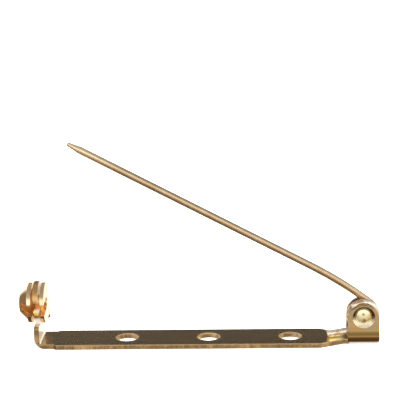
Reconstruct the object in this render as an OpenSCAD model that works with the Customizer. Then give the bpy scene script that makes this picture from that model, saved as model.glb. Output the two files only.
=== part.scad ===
// Brooch pin finding: a stamped bar with a sprung pin and a turning safety catch.
// X runs from the catch to the hinge, Z is up, and the middle hole's axis at the back face is the origin.

/* [Bar] */
// Thickness of the stamped sheet
sheet_t = 0.55; // [0.5:0.05:0.6]
// Width of the bar
bar_w = 4.5; // [4.3:0.1:5]
// Width of the strip that bends up into the catch post
post_w = 4.0; // [3.8:0.1:4.2]
// Distance between neighbouring sewing holes
hole_pitch = 8.7; // [8:0.1:9]
// Diameter of a sewing hole
hole_d = 2.32; // [2.2:0.02:2.5]
// Distance from the middle hole to the wide part's end near the catch
corner_x = 16.4; // [16:0.1:16.6]
// Distance from the middle hole to where the taper towards the hinge starts
taper_x = 11.8; // [11.5:0.1:12]

/* [Hinge] */
// Distance from the middle hole to the hinge axis
hinge_x = 16.38; // [16.3:0.01:16.5]
// Height of the hinge axis over the back face
hinge_z = 3.1; // [3.05:0.01:3.2]
// Width of an ear along the bar
ear_w = 3.3; // [3.2:0.02:3.4]
// Height of the ears over the back face
ear_top_z = 4.38; // [4.3:0.02:4.5]
// Clear gap between the ears
ear_gap = 2.0; // [1.98:0.01:2.1]
// Height of the channel's underside over the back face
hinge_rise = 0.04; // [0.02:0.01:0.1]
// Outer radius of the two bends under the ears
ear_bend_r = 1.0; // [0.9:0.05:1.2]
// Radius of the recess round the rivet
recess_r = 1.18; // [1.1:0.01:1.2]
// Depth of the recess round the rivet
recess_depth = 0.42; // [0.35:0.01:0.45]

/* [Pin] */
// Diameter of the spring wire
wire_d = 0.78; // [0.7:0.02:0.78]
// Radius of a coil turn at the middle of the wire
coil_r = 1.4; // [1.38:0.01:1.42]
// Drop of the coil's centre below the rivet's axis, as the coil hangs on its bosses
coil_drop = 0.13; // [0.1:0.01:0.13]
// Distance from the hinge axis to the pin's tip
pin_reach = 36; // [35.5:0.02:36.04]
// Length of the pin's tapered point
point_len = 1.3; // [1:0.1:2]
// Radius of the blunt end of the point
point_r = 0.22; // [0.16:0.01:0.24]
// Angle between the pin at rest and the closed pin
open_deg = 29.25; // [25:0.25:35]
// Sideways lean of the pin at rest, which clears the catch
lean_deg = 5.5; // [5.3:0.1:5.8]

/* [Catch] */
// Distance from the middle hole to the middle of the catch post
catch_x = 18.15; // [18.1:0.05:18.3]
// Height of the catch axis over the back face
catch_z = 4.58; // [4.5:0.01:4.7]
// Radius of the round head
head_r = 1.95; // [1.9:0.01:2]
// Width of the head's opening for the pin
gate_w = 1.0; // [0.94:0.02:1.04]
// Thickness of the turning catch's sheet
rotor_t = 0.42; // [0.38:0.01:0.44]
// Radius of the turning catch's cheeks
cheek_r = 2.18; // [2.1:0.01:2.2]
// Distance from the catch axis to the tip of the thumb lever
lever_len = 4.5; // [4.3:0.05:4.6]
// Width of the thumb lever
lever_w = 0.84; // [0.7:0.02:0.9]
// Width of the slot in the cheeks
slot_w = 1.2; // [1.1:0.02:1.2]
// Direction of the slot at rest, counted from the back of the head upwards
slot_deg = 188; // [184:1:190]
// Height of the hollow cone on the outer cheek
cone_h = 0.95; // [0.93:0.01:1]

/* [Hidden] */
$fn = 64;

// Catch post and head
corner_r = 0.4;
post_bend_r = 1.15;
post_inner_r = 0.2;
shoulder_z = 2.43;
shoulder_r = 0.3;
neck_w = 1.7;
head_rise = 0.39;
head_neck_top_z = 3.4;
hub_hole_r = 0.85;

// Neck and hinge channel
neck_bend_x = 12.5;
neck_end_x = 14.3;
neck_end_w = 2.26;
neck_lap = 0.15;
ear_x = hinge_x - ear_w / 2;
neck_deg = atan(hinge_rise / (ear_x - neck_bend_x));
neck_bend_w = bar_w - (bar_w - neck_end_w) * (neck_bend_x - taper_x) / (neck_end_x - taper_x);
channel_w = ear_gap + 2 * sheet_t;
web_end_x = 18.2;
web_end_r = 1.2;
ear_round_r = ear_w / 2;
rivet_seat_r = 0.86;
boss_r = 0.86;
boss_h = 0.38;
seat_y = channel_w / 2 - recess_depth;

// Rivet
rivet_r = 0.38;
rivet_clearance = 0.02;
rivet_head_r = 0.82;
rivet_head_t = 0.24;
rivet_dome_r = (rivet_head_r * rivet_head_r + rivet_head_t * rivet_head_t) / (2 * rivet_head_t);

// Distance of a wire leg's straight part from the hinge axis
function leg_rise(lift_deg, arc_r) = coil_r * cos(lift_deg) + arc_r * (1 - cos(lift_deg));
// Distance along the leg from the hinge axis to where the straight part starts
function leg_start(lift_deg, arc_r) = (arc_r - coil_r) * sin(lift_deg);

// Wire: the turns lie side by side, and each leg leaves its turn on a wide arc
wire_r = wire_d / 2;
turn_y = 0.4;
stem_lift_deg = 10;
stem_arc_r = 45;
tail_lift_deg = 5;
tail_arc_r = 10;
tail_deg = 8;
tail_end_x = 12.5;
tail_turn_deg = 300;
stem_turn_deg = 215;
lap = 0.06;
lap_step = 0.005;
tail_rise = leg_rise(tail_lift_deg, tail_arc_r);
coil_z = hinge_z - coil_drop;
tail_reach = (hinge_x - tail_end_x) / cos(tail_deg) + tail_rise * tan(tail_deg);

// Turning catch
cheek_in = 0.49;
cheek_out = cheek_in + rotor_t;
lever_from_slot_deg = 135;
lever_root_x = 1.2;
lever_root_w = 3.0;
lever_taper_x = 2.7;
lever_bend_x = lever_len - cheek_out;
hub_r = 0.78;
hub_bore_r = 0.55;
hub_end = -0.3;
cone_base_r = 1.95;
cone_end_r = 1.05;
cone_wall = 0.27;
cavity_base_r = 1.68;
cavity_end_r = 0.75;
cone_top = cheek_out + cone_h;
cavity_top = cone_top - cone_wall;
margin = 1;

// A plate drawn in the YZ plane, from x0 to x0 + t
module yz_plate(x0, t) {
    translate([x0, 0, 0]) rotate([90, 0, 90]) linear_extrude(t) children();
}

// A plate drawn in the XZ plane, from y0 to y0 + t
module xz_plate(y0, t) {
    translate([0, y0 + t, 0]) rotate([90, 0, 0]) linear_extrude(t) children();
}

// Flat bar from the catch bend to the neck
module bar_outline() {
    wide_start = -corner_x;
    strip_start = -catch_x - sheet_t / 2 + post_bend_r;
    strip_end = wide_start + 2 * corner_r;
    translate([strip_start, -post_w / 2]) square([strip_end - strip_start, post_w]);
    polygon([
        [wide_start, -bar_w / 2 + corner_r],
        [wide_start + corner_r, -bar_w / 2],
        [taper_x, -bar_w / 2],
        [neck_bend_x, -neck_bend_w / 2],
        [neck_bend_x, neck_bend_w / 2],
        [taper_x, bar_w / 2],
        [wide_start + corner_r, bar_w / 2],
        [wide_start, bar_w / 2 - corner_r]
    ]);
    for (side = [-1, 1])
        translate([wide_start + corner_r, side * (bar_w / 2 - corner_r)]) circle(corner_r);
}

// Bar with its row of sewing holes
module bar_flat() {
    linear_extrude(sheet_t) difference() {
        bar_outline();
        for (i = [-1 : 1]) translate([i * hole_pitch, 0]) circle(d = hole_d);
    }
}

// Neck that rises from the bar to the hinge channel
module neck() {
    length = ear_x - neck_bend_x + neck_lap;
    straight_x = neck_end_x - neck_bend_x;
    translate([neck_bend_x, 0, 0]) rotate([0, -neck_deg, 0]) linear_extrude(sheet_t) polygon([
        [0, -neck_bend_w / 2],
        [straight_x, -neck_end_w / 2],
        [length, -neck_end_w / 2],
        [length, neck_end_w / 2],
        [straight_x, neck_end_w / 2],
        [0, neck_bend_w / 2]
    ]);
}

// Cross-section of the channel: a web with a round bend up to each ear
module channel_outline(half_w, bottom_z, r) {
    for (side = [-1, 1]) translate([side * (half_w - r), bottom_z + r]) circle(r);
    translate([-half_w + r, bottom_z]) square([2 * (half_w - r), r]);
    translate([-half_w, bottom_z + r]) square([2 * half_w, ear_top_z]);
}

// Side view of an ear with its round top
module ear_outline() {
    translate([ear_x, 0]) square([ear_w, ear_top_z - ear_round_r]);
    translate([hinge_x, ear_top_z - ear_round_r]) circle(ear_round_r);
}

// Bent sheet of the channel from the ears' left edge on
module channel_sheet(length) {
    yz_plate(ear_x, length) difference() {
        channel_outline(channel_w / 2, hinge_rise, ear_bend_r);
        channel_outline(ear_gap / 2, hinge_rise + sheet_t, ear_bend_r - sheet_t);
    }
}

// Web with a round end, ears and bosses that hold the coil
module hinge_channel() {
    intersection() {
        channel_sheet(ear_w);
        xz_plate(-channel_w, 2 * channel_w) ear_outline();
    }
    intersection() {
        channel_sheet(web_end_x - ear_x);
        translate([web_end_x - web_end_r, 0, 0]) cylinder(r = web_end_r, h = hinge_rise + sheet_t);
    }
    for (side = [-1, 1]) ear_boss(side);
}

// Boss on the inner face of an ear, behind the recess
module ear_boss(side) {
    translate([hinge_x, side * ear_gap / 2, hinge_z]) rotate([90, 0, 0])
        translate([0, 0, side > 0 ? 0 : -boss_h]) cylinder(r = boss_r, h = boss_h);
}

// Recess on the outer face of an ear and the rivet's hole
module ear_recess(side) {
    translate([hinge_x, side * seat_y, hinge_z]) rotate([-90 * side, 0, 0])
        cylinder(r1 = rivet_seat_r, r2 = recess_r, h = recess_depth);
}

// Hole through both ears for the rivet
module rivet_hole() {
    translate([hinge_x, channel_w / 2 + margin, hinge_z]) rotate([90, 0, 0])
        cylinder(r = rivet_r + rivet_clearance, h = channel_w + 2 * margin);
}

// Cross-section of the bend from the bar up into the catch post, round outside and nearly sharp inside
module bend_outline() {
    difference() {
        union() {
            translate([post_bend_r, post_bend_r]) circle(post_bend_r);
            translate([sheet_t, sheet_t]) square(post_bend_r);
        }
        translate([sheet_t + post_inner_r, sheet_t + post_inner_r]) circle(post_inner_r);
        translate([sheet_t + post_inner_r, sheet_t]) square(2 * post_bend_r);
        translate([sheet_t, sheet_t + post_inner_r]) square(2 * post_bend_r);
        translate([post_bend_r, -margin]) square(2 * post_bend_r);
        translate([-margin, post_bend_r]) square(2 * post_bend_r);
    }
}

// Bend from the bar up into the catch post
module post_bend() {
    translate([-catch_x - sheet_t / 2, 0, 0]) xz_plate(-post_w / 2, post_w) bend_outline();
}

// Catch post, its shoulders and the open round head
module post_outline() {
    side_h = shoulder_z - shoulder_r - post_bend_r;
    translate([-post_w / 2, post_bend_r]) square([post_w, side_h]);
    translate([-post_w / 2 + shoulder_r, post_bend_r]) square([post_w - 2 * shoulder_r, side_h + shoulder_r]);
    for (side = [-1, 1])
        translate([side * (post_w / 2 - shoulder_r), shoulder_z - shoulder_r]) circle(shoulder_r);
    translate([-neck_w / 2, shoulder_z - shoulder_r]) square([neck_w, head_neck_top_z - shoulder_z + shoulder_r]);
    translate([0, catch_z + head_rise]) circle(head_r);
}

// Sheet of the post with the hole for the hub and the gate for the pin
module catch_post() {
    yz_plate(-catch_x - sheet_t / 2, sheet_t) difference() {
        post_outline();
        translate([0, catch_z]) circle(hub_hole_r);
        translate([-head_r - margin, catch_z - gate_w / 2]) square([head_r + margin, gate_w]);
    }
}

// The stamped and bent sheet as one piece
module base_plate() {
    color("#b89a5e") difference() {
        union() {
            bar_flat();
            neck();
            hinge_channel();
            post_bend();
            catch_post();
        }
        for (side = [-1, 1]) ear_recess(side);
        rivet_hole();
    }
}

// Domed rivet head on the XY plane
module rivet_head() {
    intersection() {
        cylinder(r = rivet_head_r, h = rivet_head_t);
        translate([0, 0, rivet_head_t - rivet_dome_r]) sphere(rivet_dome_r);
    }
}

// Rivet with a formed head in each recess
module hinge_rivet() {
    color("#e6cf7c") {
        translate([hinge_x, seat_y, hinge_z]) rotate([90, 0, 0]) cylinder(r = rivet_r, h = 2 * seat_y);
        for (side = [-1, 1])
            translate([hinge_x, side * seat_y, hinge_z]) rotate([-90 * side, 0, 0]) rivet_head();
    }
}

// Puts a wire that is drawn closed and in line with the bar into its rest place
module at_hinge(swing_deg) {
    translate([hinge_x, 0, coil_z]) rotate([0, 0, lean_deg]) rotate([0, swing_deg, 0]) children();
}

// A round wire bent on an arc in the XZ plane, round the origin
module wire_arc(bend_r, tube_r, from_deg, sweep_deg) {
    rotate([90, 0, 0]) rotate([0, 0, from_deg]) rotate_extrude(angle = sweep_deg)
        translate([bend_r, 0]) circle(tube_r);
}

// A coil turn that opens on an arc into a straight leg, which runs from its top towards the catch.
// Each stretch is a hair thinner than the next and ends just inside it.
module wire_leg(lift_deg, arc_r, turn_deg) {
    start = leg_start(lift_deg, arc_r);
    rise = leg_rise(lift_deg, arc_r);
    turn_lap_deg = lap / coil_r * 180 / PI;
    arc_lap_deg = lap / arc_r * 180 / PI;
    wire_arc(coil_r, wire_r - 2 * lap_step, 90 - lift_deg - turn_deg, turn_deg + turn_lap_deg);
    translate([-start, 0, rise - arc_r])
        wire_arc(arc_r, wire_r - lap_step, 90 - lift_deg, lift_deg + arc_lap_deg);
    translate([-start, 0, rise]) rotate([0, -90, 0]) children();
}

// First turn of the coil with the short tail over the neck
module spring_tail() {
    color("#caa55f") at_hinge(0) translate([0, -turn_y, 0]) rotate([0, -tail_deg, 0]) mirror([0, 0, 1])
        wire_leg(tail_lift_deg, tail_arc_r, tail_turn_deg)
            cylinder(r = wire_r, h = tail_reach - leg_start(tail_lift_deg, tail_arc_r));
}

// Straight wire with a tapered, blunt point
module pointed_shank(shank_len) {
    rotate_extrude() polygon([
        [0, 0],
        [wire_r, 0],
        [wire_r, shank_len],
        [point_r, shank_len + point_len],
        [0, shank_len + point_len]
    ]);
    translate([0, 0, shank_len + point_len]) sphere(point_r);
}

// Second turn of the coil with the long stem
module pin_stem() {
    shank_len = pin_reach - point_len - point_r - leg_start(stem_lift_deg, stem_arc_r);
    color("#d8b46c") at_hinge(open_deg) translate([0, turn_y, 0])
        wire_leg(stem_lift_deg, stem_arc_r, stem_turn_deg) pointed_shank(shank_len);
}

// Outline of a cheek with its half of the thumb lever along +X
module cheek_outline() {
    circle(cheek_r);
    polygon([
        [lever_root_x, -lever_root_w / 2],
        [lever_taper_x, -lever_w / 2],
        [lever_bend_x, -lever_w / 2],
        [lever_bend_x, lever_w / 2],
        [lever_taper_x, lever_w / 2],
        [lever_root_x, lever_root_w / 2]
    ]);
}

// Half-round bend that joins the two halves of the thumb lever
module lever_bend() {
    translate([lever_bend_x, lever_w / 2, 0]) rotate([90, 0, 0]) rotate([0, 0, -90])
        rotate_extrude(angle = 180) translate([cheek_in, 0]) square([rotor_t, lever_w]);
}

// Turning catch round the Z axis with its lever along +X
module rotor_shape() {
    difference() {
        union() {
            translate([0, 0, cheek_in]) linear_extrude(rotor_t) cheek_outline();
            translate([0, 0, -cheek_out]) linear_extrude(rotor_t) cheek_outline();
            lever_bend();
            translate([0, 0, hub_end]) cylinder(r = hub_r, h = cheek_in - hub_end + rotor_t / 2);
            translate([0, 0, -cone_top]) cylinder(r1 = cone_end_r, r2 = cone_base_r, h = cone_h);
        }
        translate([0, 0, -cavity_top])
            cylinder(r1 = cavity_end_r, r2 = cavity_base_r, h = cavity_top - cheek_in);
        translate([0, 0, -cavity_top]) cylinder(r = hub_bore_r, h = cavity_top + cheek_out + margin);
        rotate([0, 0, -lever_from_slot_deg]) translate([0, -slot_w / 2, -cavity_top])
            cube([cheek_r + margin, slot_w, cavity_top + cheek_out + margin]);
    }
}

// Turning catch in its rest place on the head
module catch_rotor() {
    color("#c49a5a") translate([-catch_x, 0, catch_z]) rotate([90, 0, 90])
        rotate([0, 0, slot_deg + lever_from_slot_deg]) rotor_shape();
}

base_plate();
hinge_rivet();
spring_tail();
pin_stem();
catch_rotor();
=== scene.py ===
import math

import bmesh
import bpy
from mathutils import Matrix, Vector


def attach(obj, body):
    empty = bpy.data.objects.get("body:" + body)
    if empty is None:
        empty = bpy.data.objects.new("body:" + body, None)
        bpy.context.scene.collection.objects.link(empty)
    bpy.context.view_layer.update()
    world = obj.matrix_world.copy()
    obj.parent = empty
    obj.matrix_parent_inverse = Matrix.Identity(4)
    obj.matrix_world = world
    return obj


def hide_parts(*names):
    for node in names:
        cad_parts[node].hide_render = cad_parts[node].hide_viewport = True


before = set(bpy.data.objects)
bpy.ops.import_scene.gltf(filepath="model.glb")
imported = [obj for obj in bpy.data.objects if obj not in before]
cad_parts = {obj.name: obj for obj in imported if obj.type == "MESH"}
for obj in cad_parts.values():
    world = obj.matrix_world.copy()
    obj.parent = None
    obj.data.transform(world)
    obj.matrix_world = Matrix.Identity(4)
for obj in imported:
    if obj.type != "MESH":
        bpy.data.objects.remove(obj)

bl_info = {
    "name": "Brooch pin finding",
    "version": (1, 0, 0),
    "blender": (4, 5, 0),
    "location": "3D View > Sidebar > Brooch Pin",
    "description": "Dresses the brooch pin finding with plated metal and sets its studio stage",
    "category": "Object",
}

MM = 0.001

# Sizes of the solids, in millimetres and degrees
HINGE = Vector((16.38, 0.0, 3.1))
COIL = Vector((16.38, 0.0, 2.97))
CATCH_X = 18.15
CATCH_Z = 4.58
CHEEK_IN = 0.49
CHEEK_R = 2.18
CAVITY_R = 1.68
CAVITY_SLOPE = 0.845
SHEET_T = 0.55
HOLE_PITCH = 8.7
HOLE_R = 1.16
EAR_LEFT = 14.73
POINT_X = -15.0
BEND_TOP_Z = 1.04
NECK_X = 12.65
POST_BEND_TOP_Z = 1.15
SHOULDER_Z = 2.43
RECESS_R = 1.18
RIVET_R = 0.38
RIVET_STEPS = 64
SEAT_Y = 1.13
TURN_Y = 0.4
TURN_SLACK = 0.003
CROSS_FROM_DEG = 120.0
CROSS_TO_DEG = 245.0
TAIL_TURN_TO_DEG = 345.0
STEM_TURN_FROM_DEG = -48.0
STEM_LIFT_DEG = 10.0
STEM_ARC_R = 45.0
TAIL_LIFT_DEG = 5.0
TAIL_ARC_R = 10.0
TAIL_DEG = 8.0
TAIL_END_X = 12.5

# Steps and shape of the wire's sweep
WIRE_SIDES = 40
STEM_STEP = 1.5
TAPER_STEPS = 16
TAPER_BULGE = 0.06
TAPER_START = 0.15
CAP_STEPS = 6
CAP_END_SHARE = 0.02
TAIL_END_SHARE = 0.86
TAIL_END_LENGTH = 0.05

# Tolerances of the mesh work, in metres and degrees
MERGE_DISTANCE = 0.0000005
FLAT_DEG = 0.6
BEVEL_SEGMENTS = 3
ROUND_SMOOTH_DEG = 50.0

# Spans in millimetres over which the masks of the materials rise or fall; several of these masks place
# painted highlights, painted shade and a painted reflection band
HOLE_RIM = (HOLE_R + 0.07, HOLE_R + 0.13)
HOLE_WALL = (HOLE_R + 0.03, HOLE_R + 0.05)
RIGHT_SIDE = 0.6
RIM_ABOVE = (0.38, 0.44)
RIM_BELOW = (0.06, 0.12)
RIM_WAVE = 0.2
BAR_TOP = (SHEET_T, SHEET_T + 0.04)
NECK_FROM = (NECK_X - 0.15, NECK_X + 0.35)
NECK_TO = (EAR_LEFT - 0.9, EAR_LEFT)
EAR_FROM = (EAR_LEFT - 0.1, EAR_LEFT)
BEND_BAND_FROM = (BEND_TOP_Z - 0.1, BEND_TOP_Z + 0.1)
BEND_BAND_TO = (BEND_TOP_Z + 0.25, BEND_TOP_Z + 0.65)
RECESS_SHADE_FROM = (HINGE.z - 0.55, HINGE.z + 0.1)
POST_FACE_FROM = (0.18 - CATCH_X, 0.22 - CATCH_X)
POST_FACE_TO = (0.36 - CATCH_X, 0.44 - CATCH_X)
POST_TO = (1.0 - CATCH_X, 1.2 - CATCH_X)
SHOULDER_FROM = (SHOULDER_Z - 0.02, SHOULDER_Z + 0.02)
UNDER_HEAD_HIGHLIGHT_TO = (SHOULDER_Z + 0.5, SHOULDER_Z + 0.8)
GLOW_FROM = (CATCH_Z - 1.2, CATCH_Z - 1.0)
LIP_FROM = (CATCH_Z - 0.54, CATCH_Z - 0.52)
GLOW_TO = (CATCH_Z - 0.46, CATCH_Z - 0.42)
HEAD_TOP_FROM = (CATCH_Z + 0.6, CATCH_Z + 1.0)
CROWN_FROM = (CATCH_Z + CHEEK_R - 0.12, CATCH_Z + CHEEK_R - 0.02)
CAVITY_TO = (CAVITY_R + 0.06, CAVITY_R + 0.16)
CHEEK_FACE_TO = (CHEEK_IN - CATCH_X + 0.03, CHEEK_IN - CATCH_X + 0.08)
OUTER_CHEEK_FROM = (0.40, 0.45)
CHEEK_RIM_FROM = (1.95, 2.05)
OVER_SLOT_FROM = (0.4, 0.5)
OVER_SLOT_TO = (1.3, 1.7)
CONE_FROM = (0.86, 0.94)
POINT_TO = (POINT_X + 1.5, POINT_X + 8.0)

# Bump distances in metres
BUMP_FINE = 0.00001
BUMP_EDGE = 0.000012
BUMP_RIVET = 0.00003

# Fixed tones of the marks on the sheet
STREAK_TONE = (0.36, 0.26, 0.14, 1.0)
SCRATCH_TONE = (0.95, 0.85, 0.62, 1.0)
TOOL_MARK_TONE = (0.22, 0.13, 0.06, 1.0)

# Tones of the surround by elevation in degrees, behind the object and in front of it
BEHIND_TONES = [
    (-90.0, (0.09, 0.06, 0.04)),
    (-55.0, (0.20, 0.12, 0.06)),
    (-38.0, (1.25, 1.22, 1.18)),
    (9.5, (1.25, 1.24, 1.22)),
    (13.0, (0.026, 0.026, 0.028)),
    (30.0, (0.026, 0.026, 0.028)),
    (40.0, (0.30, 0.29, 0.28)),
    (60.0, (0.38, 0.37, 0.36)),
]
FRONT_TONES = [
    (-90.0, (0.09, 0.06, 0.04)),
    (-44.0, (0.13, 0.095, 0.06)),
    (-32.0, (0.42, 0.31, 0.16)),
    (-24.0, (0.60, 0.53, 0.43)),
    (-6.0, (0.82, 0.78, 0.72)),
    (6.0, (1.40, 1.37, 1.33)),
    (26.0, (1.40, 1.37, 1.33)),
    (46.0, (0.50, 0.48, 0.46)),
    (90.0, (0.40, 0.39, 0.38)),
]
LEFT_TONE = (0.24, 0.175, 0.11, 1.0)
OPEN_TONE = (0.95, 0.95, 0.95, 1.0)

# Places in the surround, from -1 to 1 on each axis, between which its tones change
FLAG_SIDES = (0.6, 0.8)
FLAG_LOW_EDGE = (0.12, 0.22)
FLAG_LEFT = (-0.115, -0.075)
FRONT_TO_BEHIND = (-0.25, 0.25)
LEFT_CORNERS = (((-0.85, -0.55), (0.3, 0.5)), ((-0.45, -0.3), (-0.15, -0.05)))

# Camera's sensor in millimetres and the side of its square picture in pixels
SENSOR_MM = 36.0
FRAME_PX = 400.0


# Small helpers

def link(obj):
    bpy.context.scene.collection.objects.link(obj)
    return obj


def mesh_object(name, bm):
    mesh = bpy.data.meshes.new(name)
    bm.to_mesh(mesh)
    bm.free()
    return link(bpy.data.objects.new(name, mesh))


def smooth_step(a, b, x):
    t = min(1.0, max(0.0, (x - a) / (b - a)))
    return t * t * (3.0 - 2.0 * t)


def turned_profile(profile, steps):
    """A closed round body about the Z axis, from radii and heights in millimetres."""
    bm = bmesh.new()
    rings = []
    for step in range(steps):
        turn = Matrix.Rotation(2.0 * math.pi * step / steps, 4, "Z")
        rings.append([bm.verts.new(turn @ Vector((r * MM, 0.0, h * MM))) for r, h in profile])
    for ring, ahead in zip(rings, rings[1:] + rings[:1]):
        for i in range(len(profile) - 1):
            bm.faces.new((ring[i], ahead[i], ahead[i + 1], ring[i + 1]))
    bmesh.ops.remove_doubles(bm, verts=bm.verts, dist=MERGE_DISTANCE)
    return bm


def bake_modifiers(obj, name):
    """Turns an object with modifiers into a plain mesh object."""
    depsgraph = bpy.context.evaluated_depsgraph_get()
    mesh = bpy.data.meshes.new_from_object(obj.evaluated_get(depsgraph), depsgraph=depsgraph)
    mesh.name = name
    data = obj.data
    bpy.data.objects.remove(obj)
    if isinstance(data, bpy.types.Curve):
        bpy.data.curves.remove(data)
    return link(bpy.data.objects.new(name, mesh))


# Node helpers for materials and groups

class NodeBench:
    """Adds and joins the nodes of one tree."""

    def __init__(self, tree):
        self.tree = tree

    def add(self, kind, **values):
        node = self.tree.nodes.new(kind)
        for key, value in values.items():
            setattr(node, key, value)
        return node

    def join(self, source, target):
        self.tree.links.new(source, target)

    def feed(self, target, value):
        if isinstance(value, bpy.types.NodeSocket):
            self.join(value, target)
        else:
            target.default_value = value

    def math(self, operation, a, b=0.0, clamp=False):
        node = self.add("ShaderNodeMath", operation=operation, use_clamp=clamp)
        self.feed(node.inputs[0], a)
        self.feed(node.inputs[1], b)
        return node.outputs[0]

    def plus(self, a, b):
        return self.math("ADD", a, b)

    def minus(self, a, b):
        return self.math("SUBTRACT", a, b)

    def times(self, a, b):
        return self.math("MULTIPLY", a, b)

    def length(self, a, b):
        """Length of a plane vector from its two parts."""
        return self.math("SQRT", self.plus(self.times(a, a), self.times(b, b)))

    def split(self, vector):
        node = self.add("ShaderNodeSeparateXYZ")
        self.join(vector, node.inputs[0])
        return tuple(node.outputs)

    def ramp(self, value, low, high, out_low=0.0, out_high=1.0):
        node = self.add("ShaderNodeMapRange", interpolation_type="SMOOTHSTEP")
        self.feed(node.inputs["Value"], value)
        self.feed(node.inputs["From Min"], low)
        self.feed(node.inputs["From Max"], high)
        self.feed(node.inputs["To Min"], out_low)
        self.feed(node.inputs["To Max"], out_high)
        return node.outputs["Result"]

    def rise(self, value, span):
        """Mask that rises from 0 to 1 over a span in millimetres."""
        return self.ramp(value, span[0] * MM, span[1] * MM)

    def fall(self, value, span):
        """Mask that falls from 1 to 0 over a span in millimetres."""
        return self.ramp(value, span[0] * MM, span[1] * MM, 1.0, 0.0)

    def mix(self, share, a, b):
        node = self.add("ShaderNodeMix", data_type="RGBA", clamp_factor=True)
        self.feed(node.inputs[0], share)
        self.feed(node.inputs[6], a)
        self.feed(node.inputs[7], b)
        return node.outputs[2]

    def tint(self, color, mask, tone, share):
        """Blends a tone over a colour by a share of a mask."""
        return self.mix(self.times(mask, share), color, tone)

    def noise(self, place, scale, detail=2.0, rough=0.5, stretch=(1.0, 1.0, 1.0)):
        mapping = self.add("ShaderNodeMapping")
        mapping.inputs["Scale"].default_value = stretch
        self.join(place, mapping.inputs["Vector"])
        node = self.add("ShaderNodeTexNoise")
        self.join(mapping.outputs[0], node.inputs["Vector"])
        self.feed(node.inputs["Scale"], scale)
        self.feed(node.inputs["Detail"], detail)
        self.feed(node.inputs["Roughness"], rough)
        return node.outputs["Fac"]


def new_group(name, inputs, outputs, tree_kind="ShaderNodeTree"):
    tree = bpy.data.node_groups.new(name, tree_kind)
    for label, kind, default in inputs:
        socket = tree.interface.new_socket(label, in_out="INPUT", socket_type=kind)
        if default is not None:
            socket.default_value = default
    for label, kind in outputs:
        tree.interface.new_socket(label, in_out="OUTPUT", socket_type=kind)
    bench = NodeBench(tree)
    return bench, bench.add("NodeGroupInput"), bench.add("NodeGroupOutput")


def place_group(bench, name, **values):
    node = bench.add("ShaderNodeGroup")
    node.node_tree = bpy.data.node_groups[name]
    for label, value in values.items():
        bench.feed(node.inputs[label.replace("_", " ")], value)
    return node


def build_satin_grain():
    """Fine rolled grain: lengthwise streaks of colour and gloss with a light bump height."""
    b, given, out = new_group("Satin grain", [
        ("Place", "NodeSocketVector", None),
        ("Streak Scale", "NodeSocketFloat", 900.0),
        ("Grain Scale", "NodeSocketFloat", 9000.0),
    ], [("Streak", "NodeSocketFloat"), ("Grain", "NodeSocketFloat"), ("Height", "NodeSocketFloat")])
    place = given.outputs["Place"]
    broad = b.noise(place, given.outputs["Streak Scale"], 3.0, 0.6, (0.07, 1.0, 1.0))
    fine = b.noise(place, given.outputs["Grain Scale"], 2.0, 0.6, (0.12, 1.0, 1.0))
    speck = b.noise(place, given.outputs["Grain Scale"], 2.0, 0.7, (1.0, 1.0, 1.0))
    streak = b.ramp(broad, 0.3, 0.7)
    mixed = b.times(b.plus(fine, speck), 0.5)
    b.join(streak, out.inputs["Streak"])
    b.join(mixed, out.inputs["Grain"])
    b.join(b.plus(b.times(mixed, 0.6), b.times(streak, 0.4)), out.inputs["Height"])


def build_scratches():
    """Sparse hairline scratches in several directions, as a mask."""
    b, given, out = new_group("Hairline scratches", [
        ("Place", "NodeSocketVector", None),
        ("Scale", "NodeSocketFloat", 500.0),
        ("Amount", "NodeSocketFloat", 0.5),
    ], [("Mask", "NodeSocketFloat")])
    masks = []
    for turn, stretch in ((0.35, 0.05), (1.2, 0.06), (2.3, 0.045)):
        spin = b.add("ShaderNodeMapping")
        spin.inputs["Rotation"].default_value = (0.4 * turn, 0.2 * turn, turn)
        b.join(given.outputs["Place"], spin.inputs["Vector"])
        hair = b.noise(spin.outputs[0], given.outputs["Scale"], 0.0, 0.5, (stretch, 1.0, 1.0))
        middle = b.math("ABSOLUTE", b.minus(hair, 0.5))
        line = b.ramp(middle, 0.0, 0.007, 1.0, 0.0)
        patch = b.noise(spin.outputs[0], b.times(given.outputs["Scale"], 0.35), 1.0)
        masks.append(b.times(line, b.ramp(patch, 0.55, 0.68)))
    total = b.math("MAXIMUM", b.math("MAXIMUM", masks[0], masks[1]), masks[2])
    b.join(b.math("MULTIPLY", total, given.outputs["Amount"], clamp=True), out.inputs["Mask"])


def build_plating_tone():
    """Slow colour drift of the plating between three tones."""
    b, given, out = new_group("Plating tone", [
        ("Place", "NodeSocketVector", None),
        ("Scale", "NodeSocketFloat", 260.0),
        ("Tone", "NodeSocketColor", (0.6, 0.45, 0.25, 1.0)),
        ("Warm", "NodeSocketColor", (0.6, 0.4, 0.25, 1.0)),
        ("Cool", "NodeSocketColor", (0.55, 0.5, 0.4, 1.0)),
    ], [("Color", "NodeSocketColor"), ("Drift", "NodeSocketFloat")])
    place = given.outputs["Place"]
    one = b.ramp(b.noise(place, given.outputs["Scale"], 2.0), 0.45, 0.7)
    two = b.ramp(b.noise(place, b.times(given.outputs["Scale"], 1.7), 2.0), 0.45, 0.7)
    warm = b.mix(one, given.outputs["Tone"], given.outputs["Warm"])
    b.join(b.mix(two, warm, given.outputs["Cool"]), out.inputs["Color"])
    b.join(one, out.inputs["Drift"])


def start_material(name):
    """A new material: its bench, its shader, the object's coordinates and their three parts."""
    material = bpy.data.materials.new(name)
    material.use_nodes = True
    tree = material.node_tree
    bench = NodeBench(tree)
    place = bench.add("ShaderNodeTexCoord").outputs["Object"]
    return material, bench, tree.nodes["Principled BSDF"], place, bench.split(place)


def finish_bump(bench, shader, height, strength, distance):
    bump = bench.add("ShaderNodeBump")
    bump.inputs["Strength"].default_value = strength
    bump.inputs["Distance"].default_value = distance
    bench.join(height, bump.inputs["Height"])
    bench.join(bump.outputs["Normal"], shader.inputs["Normal"])


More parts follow.
